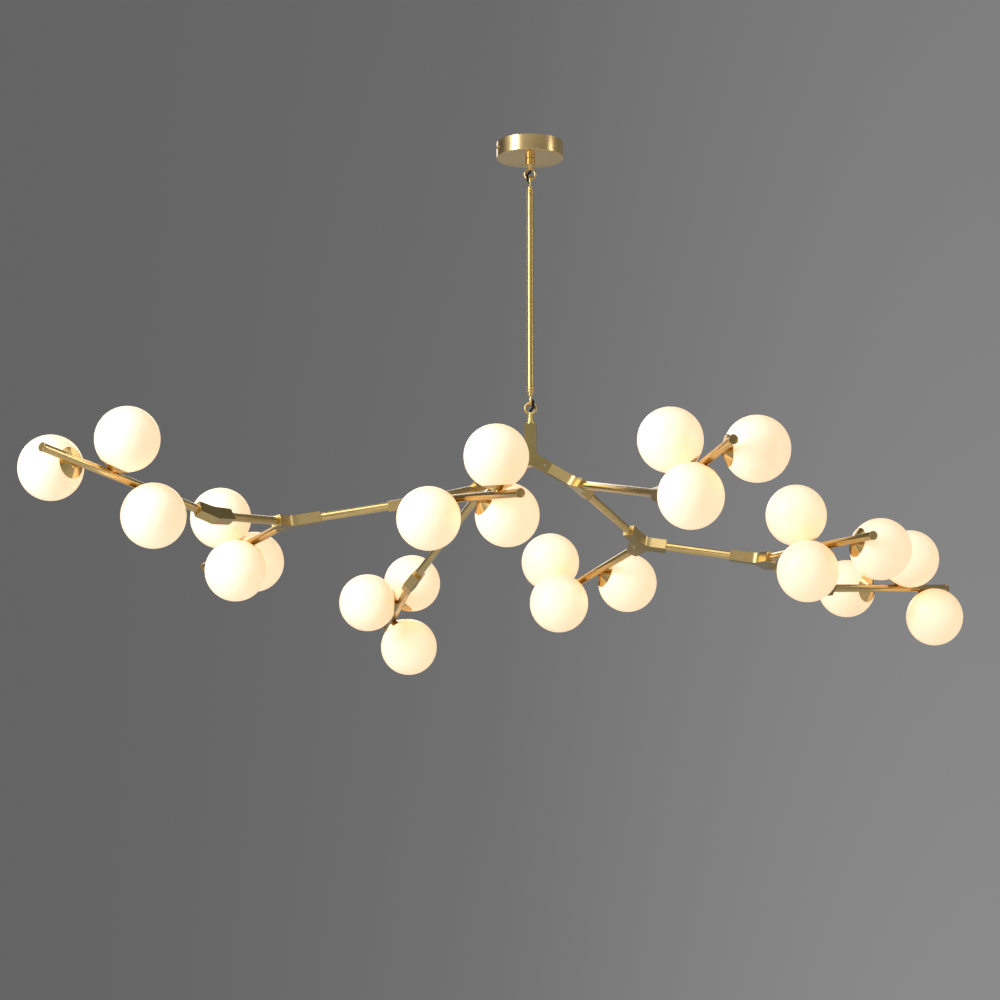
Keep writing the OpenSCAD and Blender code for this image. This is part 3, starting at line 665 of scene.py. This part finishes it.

# %% [markdown]
# ## Cast bars
# The hub, the forks and the elbows are thick brass bars with a darker finish, and painted shade makes
# their broad sides darker than their edges. Their solids already have the right sockets and webs, so a
# copy is enough. The copy is welded, its flat faces are joined, and a small bevel rounds the edges.
# That bevel is what makes the thin bright lines along every bar.

# %% Copies of CAD nodes
WELD = 2e-6
ONE_PLANE, BAR_SMOOTH_BELOW = math.radians(0.3), math.radians(32)
CORNER_OVER = math.radians(50)


def cad_parts(node):
    whole = bmesh.new()
    whole.from_mesh(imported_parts[node].data)
    bmesh.ops.remove_doubles(whole, verts=whole.verts, dist=WELD)
    bmesh.ops.dissolve_limit(whole, angle_limit=ONE_PLANE, verts=whole.verts, edges=whole.edges)
    whole.verts.ensure_lookup_table()
    left = set(range(len(whole.verts)))
    parts = []
    while left:
        island, front = set(), [left.pop()]
        while front:
            at = front.pop()
            island.add(at)
            for edge in whole.verts[at].link_edges:
                other = edge.other_vert(whole.verts[at]).index
                if other in left:
                    left.discard(other)
                    front.append(other)
        part = whole.copy()
        part.verts.ensure_lookup_table()
        others = [vertex for vertex in part.verts if vertex.index not in island]
        bmesh.ops.delete(part, geom=others, context="VERTS")
        mesh = bpy.data.meshes.new(f"{node}_{len(parts)}")
        for face in part.faces:
            face.smooth = True
        volume = abs(part.calc_volume())
        part.to_mesh(mesh)
        part.free()
        mesh.set_sharp_from_angle(angle=BAR_SMOOTH_BELOW)
        parts.append((volume, mesh))
    whole.free()
    return [mesh for volume, mesh in sorted(parts, key=lambda pair: -pair[0])]


def soften(piece, width, steps=2):
    bevel = piece.modifiers.new("edges", "BEVEL")
    bevel.width = width * MM
    bevel.segments = steps
    bevel.limit_method = "ANGLE"
    bevel.angle_limit = CORNER_OVER
    bevel.harden_normals = True


print("CAD nodes to copy from:", len(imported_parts))

# %% The bars
BAR_ROUND = 0.7
FLAT_OVER = 0.9


# the faces marked here get the painted shade of a bar's broad sides
def mark_flats(mesh, place):
    across = place.to_3x3() @ Vector((0, 1, 0))
    mark = mesh.attributes.new("flat", "FLOAT", "FACE")
    for face in mesh.polygons:
        mark.data[face.index].value = float(abs(face.normal.dot(across)) > FLAT_OVER)


bars = [("hub", "frame", places["r"]["hub"])]
elbows = []
for side in "rl":
    for number in (1, 2, 3):
        bars.append((f"fork_{side}{number}", "frame", places[side][f"fork_{number}"]))
    for number in (1, 2):
        node = f"elbow_{side}{number}"
        elbows.append((node, node, places[side][f"elbow_{number}"]))
for node, body, place in bars + elbows:
    parts = cad_parts(node)
    mark_flats(parts[0], place)
    bar = check_in(f"{node}_bar", parts[0], body, "aged_brass", [node])
    soften(bar, BAR_ROUND, 3)
    if body != "frame":
        name = f"{node}_wires"
        check_in(name, joined(parts[1:3], name), body, "black_cable", [node])
print("bars:", len(bars), "on the frame and", len(elbows), "elbows")

# %% [markdown]
# ## Grub screws
# A grub screw in each bar clamps the tube that ends there. It is a short headless screw
# with a hexagon socket. All of them are the same, so a Geometry Nodes tree puts one shape
# on each point and turns it to face the way that the point says.

# %% The screw and its tree
BAR_T, GRUB_INSET, GRUB_SUNK = 20, 12, 0.6
GRUB_R, GRUB_L, GRUB_FOOT, GRUB_BEVEL = 1.98, 1.1, 0.15, 0.25
HEX, HEX_DEEP = 0.95, 0.8
grub_outline = [(-GRUB_L, 0), (-GRUB_L, GRUB_R - GRUB_FOOT), (-GRUB_L + GRUB_FOOT, GRUB_R)]
grub_outline += [(-GRUB_BEVEL, GRUB_R), (0, GRUB_R - GRUB_BEVEL)]
grub_outline += [(0, HEX), (-HEX_DEEP, HEX * 0.98), (-HEX_DEEP, 0)]


def hexed(mesh):
    corner, half = math.radians(60), math.radians(30)
    for vertex in mesh.vertices:
        out = math.hypot(vertex.co.y, vertex.co.z)
        if 0 < out < 1.1 * HEX * MM:
            angle = math.atan2(vertex.co.z, vertex.co.y) % corner - half
            vertex.co.yz = vertex.co.yz * (math.cos(half) / math.cos(angle))
    return mesh


def screw_tree():
    tree = bpy.data.node_groups.new("screws on points", "GeometryNodeTree")
    face = tree.interface
    face.new_socket("Geometry", in_out="INPUT", socket_type="NodeSocketGeometry")
    face.new_socket("Screw", in_out="INPUT", socket_type="NodeSocketObject")
    face.new_socket("Size", in_out="INPUT", socket_type="NodeSocketFloat").default_value = 1.0
    face.new_socket("Finish", in_out="INPUT", socket_type="NodeSocketMaterial")
    face.new_socket("Geometry", in_out="OUTPUT", socket_type="NodeSocketGeometry")
    source = add(tree, "NodeGroupInput").outputs
    kind = "GeometryNodeInputNamedAttribute"
    facing = add(tree, kind, {"Name": "facing"}, data_type="FLOAT_VECTOR").outputs["Attribute"]
    turn = add(tree, "FunctionNodeAlignRotationToVector", {"Vector": facing}, axis="X")
    shape = add(tree, "GeometryNodeObjectInfo", {"Object": source["Screw"]})
    values = {"Points": source["Geometry"], "Scale": source["Size"]}
    put = add(tree, "GeometryNodeInstanceOnPoints", values)
    tree.links.new(shape.outputs["Geometry"], put.inputs["Instance"])
    tree.links.new(turn.outputs["Rotation"], put.inputs["Rotation"])
    painted_end(tree, put.outputs["Instances"], source["Finish"])
    return tree


def points_mesh(name, spots):
    mesh = bpy.data.meshes.new(name)
    mesh.from_pydata([spot for spot, facing in spots], [], [])
    ways = mesh.attributes.new("facing", "FLOAT_VECTOR", "POINT")
    for index, (spot, facing) in enumerate(spots):
        ways.data[index].vector = facing
    return mesh


SCREWS = screw_tree()
grub_unit = unit("unit_grub", hexed(spun("unit_grub", grub_outline, 24, closed=False)))
print("screw tree has", len(SCREWS.nodes), "nodes")


# %% Grub screws in their bars
def grub_spot(joint, length, lean):
    place = joint @ turned("Y", lean) @ moved(length - GRUB_INSET, -(BAR_T / 2 - GRUB_SUNK))
    facing = place.to_3x3() @ Vector((0, -1, 0))
    return place.translation.copy(), facing.normalized()


grubs = {"frame": []}
for side in "rl":
    here = places[side]
    grubs["frame"].append(grub_spot(here["hub"], FORK_SHORT, 0))
    for number in (1, 2, 3):
        fork = here[f"fork_{number}"]
        grubs["frame"].append(grub_spot(fork, FORK_LONG, 180))
        grubs["frame"] += [grub_spot(fork, FORK_SHORT, lean) for lean in (-FORK_ANGLE, FORK_ANGLE)]
    for number in (1, 2):
        elbow = here[f"elbow_{number}"]
        spots = [grub_spot(elbow, ELBOW_IN, 180), grub_spot(elbow, ELBOW_OUT, -ELBOW_BEND)]
        grubs[f"elbow_{side}{number}"] = spots
for body, spots in grubs.items():
    values = {"Screw": grub_unit, "Size": 1.0, "Finish": finish["steel"]}
    mesh = baked(SCREWS, points_mesh(f"points_{body}", spots), values, f"grubs_{body}")
    node = "frame_fasteners" if body == "frame" else body
    check_in(f"grubs_{body}", mesh, body, "steel", [node])
bpy.data.objects.remove(grub_unit)
print("grub screws:", sum(len(spots) for spots in grubs.values()))

# %% [markdown]
# ## Canopy
# The canopy is a spun brass cup, brushed round its axis. It could be the CAD solid, but a
# finer profile gives the small radius at its lower edge, and the UV map that the brushing
# needs. The bracket inside it, the nuts and the side screws keep their solids.

# %% Canopy
CANOPY_R, CANOPY_H, CANOPY_WALL, CANOPY_EDGE, CANOPY_BAND = 67, 32, 1.5, 1.2, 12
SHANK_R = 5
inside, hole = CANOPY_R - CANOPY_WALL, SHANK_R + SEAT
bend = (-CANOPY_H + CANOPY_EDGE, CANOPY_R - CANOPY_EDGE)
canopy_outline = [(-CANOPY_H, hole), (-CANOPY_H, CANOPY_R - CANOPY_BAND), (-CANOPY_H, bend[1])]
canopy_outline += round_corner(bend, CANOPY_EDGE, 180, 90, 6)[1:]
canopy_outline += [(-LIP, CANOPY_R), (0, CANOPY_R - LIP), (0, inside)]
canopy_outline += [(-CANOPY_H + CANOPY_WALL, inside), (-CANOPY_H + CANOPY_WALL, hole)]
canopy = spun("canopy_shell", canopy_outline, 144, about="Z")
check_in("canopy_shell", canopy, "ceiling", "satin_brass", ["canopy"])


def keep_cad(node, body, slot, width):
    for number, mesh in enumerate(cad_parts(node), 1):
        soften(check_in(f"{node}_{number}", mesh, body, slot, [node]), width)


keep_cad("bracket", "ceiling", "steel", 0.3)
keep_cad("bracket_fasteners", "ceiling", "screw_brass", 0.25)
keep_cad("terminal_block", "ceiling", "white_plastic", 0.5)
print("ceiling pieces made")

# %% [markdown]
# ## Linked loops
# Two closed loops linked through each other let the lamp swing and hang straight, like two
# links of a chain. Each loop is cast in one piece with its turned neck. A hoop and a spun
# neck that run into each other give the same shape with smooth faces.

# %% Loops and necks
LOOP_R, LOOP_BAR, BORE_R = 10.4, 5.6, 2.5
STEM_LOOP_Z, ROD_LOOP_Z, ROD_TOP, ROD_BOTTOM = -65.0, -79.9, -109.4, -500.4
ROD_LOW_LOOP_Z, HUB_LOOP_Z, HUB_TOP = -529.9, -544.8, -576.8
STEM_TOP, STEM_COLLAR, STEM_NECK, STEM_END = -8, -45, -45.6, -54.6
STEM_COLLAR_R, STEM_NECK_R, STEM_END_R = 9.5, 9.2, 4.2
PLUG_L, ROD_PLUG_R, ROD_LIP_R, ROD_LIP_H = 14, 5.78, 8, 2
COLLAR_L, COLLAR_R, BEAD_R, BEADS = 13.5, 6, 2, (0.42, 0.8)
ROD_NECK_END, HUB_NECK_END, HUB_NECK_R, NECK_R = 19.1, 21.6, 6.82, 4.48
FLANGE_R, FLANGE_T = 9, 3


def hoop(name, z, across):
    section = round_corner((0, LOOP_R), LOOP_BAR / 2, 0, 345, 23)
    mesh = spun(name, section, 72)
    mesh.transform(moved(0, 0, z) @ turned("Z", 0 if across else 90))
    return mesh


def neck(name, outline, z, flip=False):
    mesh = spun(name, outline, about="Z")
    mesh.transform(moved(0, 0, z) @ (turned("X", 180) if flip else Matrix.Identity(4)))
    return mesh


stem_outline = [(STEM_END, BORE_R), (STEM_END, STEM_END_R), (STEM_NECK, STEM_NECK_R)]
stem_outline += [(STEM_COLLAR, STEM_COLLAR_R - EDGE), (STEM_COLLAR + EDGE, STEM_COLLAR_R)]
stem_outline += [(-CANOPY_H - 0.5, STEM_COLLAR_R), (-CANOPY_H, STEM_COLLAR_R - 0.5)]
stem_outline += [(-CANOPY_H, SHANK_R), (STEM_TOP, SHANK_R), (STEM_TOP, BORE_R)]
rod_end_outline = [(-PLUG_L, BORE_R), (-PLUG_L, ROD_PLUG_R), (0, ROD_PLUG_R)]
rod_end_outline += [(0, ROD_LIP_R - LIP), (LIP, ROD_LIP_R), (ROD_LIP_H - LIP, ROD_LIP_R)]
rod_end_outline += [(ROD_LIP_H, ROD_LIP_R - LIP), (ROD_LIP_H, COLLAR_R)]
for share in BEADS:
    rod_end_outline += round_corner((COLLAR_L * share, COLLAR_R), BEAD_R, 180, 0, 10)
rod_end_outline += [(COLLAR_L - EDGE, COLLAR_R), (COLLAR_L, COLLAR_R - EDGE), (COLLAR_L, NECK_R)]
rod_end_outline += [(ROD_NECK_END, NECK_R), (ROD_NECK_END, BORE_R)]
hub_neck_outline = [(-PLUG_L, BORE_R), (-PLUG_L, SHANK_R), (0, SHANK_R), (0, FLANGE_R - EDGE)]
hub_neck_outline += [(EDGE, FLANGE_R), (FLANGE_T - EDGE, FLANGE_R), (FLANGE_T, FLANGE_R - EDGE)]
hub_neck_outline += [(FLANGE_T, HUB_NECK_R), (HUB_NECK_END, NECK_R), (HUB_NECK_END, BORE_R)]
print("neck profiles:", len(stem_outline), len(rod_end_outline), len(hub_neck_outline), "points")

# %% Assemble the loops
ROD_R, ROD_IN, ROD_EDGE = 7, 5.8, 0.2

stem = [hoop("stem_hoop", STEM_LOOP_Z, False), neck("stem_neck", stem_outline, 0)]
upper = [hoop("upper_hoop", ROD_LOOP_Z, True), neck("upper_neck", rod_end_outline, ROD_TOP)]
lower = [hoop("lower_hoop", ROD_LOW_LOOP_Z, True)]
lower.append(neck("lower_neck", rod_end_outline, ROD_BOTTOM, True))
hub_end = [hoop("hub_hoop", HUB_LOOP_Z, False), neck("hub_neck", hub_neck_outline, HUB_TOP)]
for name, meshes, body, node in (
    ("stem_and_loop", stem, "ceiling", "stem_loop"),
    ("rod_end_loops", upper + lower, "rod", "rod_loops"),
    ("hub_end_loop", hub_end, "frame", "hub_loop"),
):
    check_in(name, joined(meshes, name), body, "bright_brass", [node])

rod_outline = [(ROD_BOTTOM, ROD_IN), (ROD_BOTTOM, ROD_R - ROD_EDGE), (ROD_BOTTOM + ROD_EDGE, ROD_R)]
rod_outline += [(ROD_TOP - ROD_EDGE, ROD_R), (ROD_TOP, ROD_R - ROD_EDGE), (ROD_TOP, ROD_IN)]
drop_rod = spun("drop_rod", rod_outline, about="Z")
check_in("drop_rod", drop_rod, "rod", "bright_brass", ["rod_tube"], finish["rod_brass"])
print("loops and rod made")

# %% [markdown]
# ## Cable
# One black cable runs from the terminal block through the rod to the hub. It shows only where it
# crosses from loop to loop, curving round the bars. A tube swept along the route of the CAD model gives
# that.

# %% Cable
CABLE_R, LOOP_GAP = 2.2, 0.3
SLACK_START, SLACK_RATE = 1 / 16, 3.6
END_SHARP_OVER = math.radians(50)


def sweep(name, route, radius, sides=20):
    mesh = bpy.data.meshes.new(name)
    shape = bmesh.new()
    rings, normal = [], Vector((0.3, 1, 0.2))
    for index, point in enumerate(route):
        ahead = (route[min(index + 1, len(route) - 1)] - route[max(index - 1, 0)]).normalized()
        normal = (normal - ahead * normal.dot(ahead)).normalized()
        side = ahead.cross(normal)
        ring = []
        for step in range(sides):
            angle = 2 * math.pi * step / sides
            out = math.cos(angle) * normal + math.sin(angle) * side
            ring.append(shape.verts.new((point + radius * out) * MM))
        rings.append(ring)
    for near, far in zip(rings, rings[1:]):
        for step in range(sides):
            following = (step + 1) % sides
            wall = shape.faces.new((near[step], near[following], far[following], far[step]))
            wall.smooth = True
    shape.faces.new(rings[0])
    shape.faces.new(rings[-1])
    bmesh.ops.recalc_face_normals(shape, faces=shape.faces)
    shape.to_mesh(mesh)
    shape.free()
    mesh.set_sharp_from_angle(angle=END_SHARP_OVER)
    return mesh


def ease(share):
    return share * share * (3 - 2 * share)


def jumper_route(top, bottom, way, steps=48):
    reach = (LOOP_BAR + 2 * CABLE_R) / 2 + LOOP_GAP
    route = []
    for step in range(steps + 1):
        part = step / steps
        slack = SLACK_RATE * (min(part, 1 - part) - SLACK_START)
        swing = reach * ease(min(1, max(0, slack)))
        route.append(Vector((way * swing, -swing, top + (bottom - top) * part)))
    return route


def jumper(name, node, upper_body, lower_body, top, bottom, way):
    mesh = sweep(name, jumper_route(top, bottom, way), CABLE_R)
    mesh.materials.append(finish["black_cable"])
    piece = bpy.data.objects.new(name, mesh)
    scene.collection.objects.link(piece)
    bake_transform(piece)
    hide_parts(node)
    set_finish(piece, "black_cable")


IN_LOOP = LOOP_R - LOOP_BAR / 2
upper_ends = (STEM_LOOP_Z + IN_LOOP, ROD_LOOP_Z - IN_LOOP)
lower_ends = (ROD_LOW_LOOP_Z + IN_LOOP, HUB_LOOP_Z - IN_LOOP)
jumper("upper_cable_link", "upper_jumper", "ceiling", "rod", *upper_ends, -1)
jumper("lower_cable_link", "lower_jumper", "rod", "frame", *lower_ends, 1)
print("cable links made")

# %% [markdown]
# ## Hidden cables
# The cables inside the stem, the rod and the frame are never seen, so their CAD solids
# only get the finish of the sheath. The wire in each arm is one straight piece that is
# swept again, because its node also holds the lamps, which are made above.

# %% Hidden cables keep their solids
for node in ("supply_cable", "rod_cable", "frame_wires"):
    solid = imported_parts[node]
    solid.data.materials.clear()
    solid.data.materials.append(finish["black_cable"])
    solid["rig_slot"] = "black_cable"
WIRE_R = 2
arm_run = [Vector((PLAY - SOCKET, 0, 0)), Vector((plug_end - SEAT, 0, 0))]
for name, place in arms:
    mesh = sweep(f"arm_wire_{name}", arm_run, WIRE_R)
    mesh.transform(place)
    check_in(f"arm_wire_{name}", mesh, f"arm_{name}", "black_cable", [f"lamps_{name}"])
print("wires in", len(arms), "arms")

# %% [markdown]
# ## Floor, air and light
# The photograph has a plain grey wall that is darker on the left. The air round the object
# shows the same greys, by direction, so every view has a backdrop and the brass has
# something even to reflect. The floor lies far below and glows a little, as the air does.

# %% Floor
FLOOR_Z, FLOOR_HALF, FLOOR_GLOW = -2.9, 30, 0.26
around = ((-1, -1), (1, -1), (1, 1), (-1, 1))
floor_mesh = bpy.data.meshes.new("floor")
corners = [(x * FLOOR_HALF, y * FLOOR_HALF, FLOOR_Z) for x, y in around]
floor_mesh.from_pydata(corners, [], [(0, 1, 2, 3)])
floor = bpy.data.objects.new("floor", floor_mesh)
scene.collection.objects.link(floor)
floor_material, tree, shader = new_material("pale floor")
grain = noise(tree, add(tree, "ShaderNodeTexCoord").outputs["Object"], 3.0)
pale = ramp(tree, grain, [(0.3, (0.6, 0.6, 0.6)), (0.7, (0.63, 0.63, 0.63))])
tree.links.new(pale, shader.inputs["Base Color"])
shader.inputs["Roughness"].default_value = 0.8
shader.inputs["Emission Color"].default_value = (1, 1, 1, 1)
shown, rays = seen_or_mirrored(tree)
tree.links.new(math_of(tree, "MULTIPLY", shown, FLOOR_GLOW), shader.inputs["Emission Strength"])
floor_mesh.materials.append(floor_material)
print("floor at", FLOOR_Z, "m")

# %% [markdown]
# ## Air
# What the camera or a reflection sees of the air are the greys of the wall. All other rays
# get a weak even light, so the backdrop can match the photograph and light nothing.

# %% Air
DARK, MIDDLE_GREY, LIGHT = (0.128,) * 3, (0.145,) * 3, (0.205,) * 3
WALL_EDGE, CORNER_LIGHT = 0.13, 0.055
SOFT_COLOUR, SOFT_STRENGTH = (0.95, 0.97, 1.0, 1), 0.1

world = bpy.data.worlds.new("studio")
scene.world = world
world.use_nodes = True
tree = world.node_tree
tree.nodes.clear()
toward = add(tree, "ShaderNodeTexCoord").outputs["Generated"]
way = add(tree, "ShaderNodeSeparateXYZ", {"Vector": toward}).outputs
across = mapped_range(tree, way["X"], -WALL_EDGE, WALL_EDGE, smooth=True)
height = mapped_range(tree, way["Z"], 0.33, 0.07, 0.0, CORNER_LIGHT)
corner = math_of(tree, "MULTIPLY", height, across)
greys = ramp(tree, across, [(0.0, DARK), (0.5, MIDDLE_GREY), (1.0, LIGHT)])
wall = {"Factor": 1.0, "A": greys, "B": corner}
grey = add(tree, "ShaderNodeMix", wall, data_type="RGBA", blend_type="ADD")
raised = mapped_range(tree, way["Z"], 0.28, 0.75, 0.4, 1.5, smooth=True)
sideways = mapped_range(tree, way["X"], -0.7, 0.7, 1.15, 0.7)
front = mapped_range(tree, way["Y"], 0.3, -0.2, smooth=True)
behind = math_of(tree, "MULTIPLY", raised, sideways)
room = {"Factor": front, "A": grey.outputs["Result"], "B": behind}
shade = add(tree, "ShaderNodeMix", room, data_type="RGBA")
seen = add(tree, "ShaderNodeBackground", {"Color": shade.outputs["Result"], "Strength": 1.0})
soft = add(tree, "ShaderNodeBackground", {"Color": SOFT_COLOUR, "Strength": SOFT_STRENGTH})
shown, rays = seen_or_mirrored(tree)
pick = math_of(tree, "MAXIMUM", shown, rays["Is Transmission Ray"])
both = add(tree, "ShaderNodeMixShader", {0: pick, 1: soft.outputs[0], 2: seen.outputs[0]})
add(tree, "ShaderNodeOutputWorld", {"Surface": both.outputs[0]})
print("air ready")

# %% [markdown]
# ## Lamps
# A tall soft lamp on the left makes the long bright line that every tube has in the
# photograph. Four weaker ones lift the top, the front, the right side and the back, so
# that every view shows the shapes.

# %% Lamps
def area_lamp(name, place, wide, high, power):
    light = bpy.data.lights.new(name, "AREA")
    light.shape = "RECTANGLE"
    light.size, light.size_y = wide, high
    light.energy = power
    lamp = bpy.data.objects.new(name, light)
    scene.collection.objects.link(lamp)
    lamp.location = place
    lamp.rotation_euler = (MIDDLE - Vector(place)).to_track_quat("-Z", "Y").to_euler()


MIDDLE = Vector((0, 0, -0.6))
area_lamp("soft_left", (-3.3, -2.4, 0.2), 1.2, 3.8, 165)
area_lamp("soft_top", (-0.6, -2.6, 2.6), 3.2, 1.2, 22)
area_lamp("soft_low", (0.6, -6.4, -2.2), 2.8, 1.6, 20)
area_lamp("soft_right", (4.2, -1.2, -0.2), 0.9, 2.6, 25)
area_lamp("soft_back", (-1.0, 4.5, 1.4), 3.0, 1.6, 30)
print("lamps ready")

# %% Sizes and finish
print("pieces checked in:", len(pieces_made))
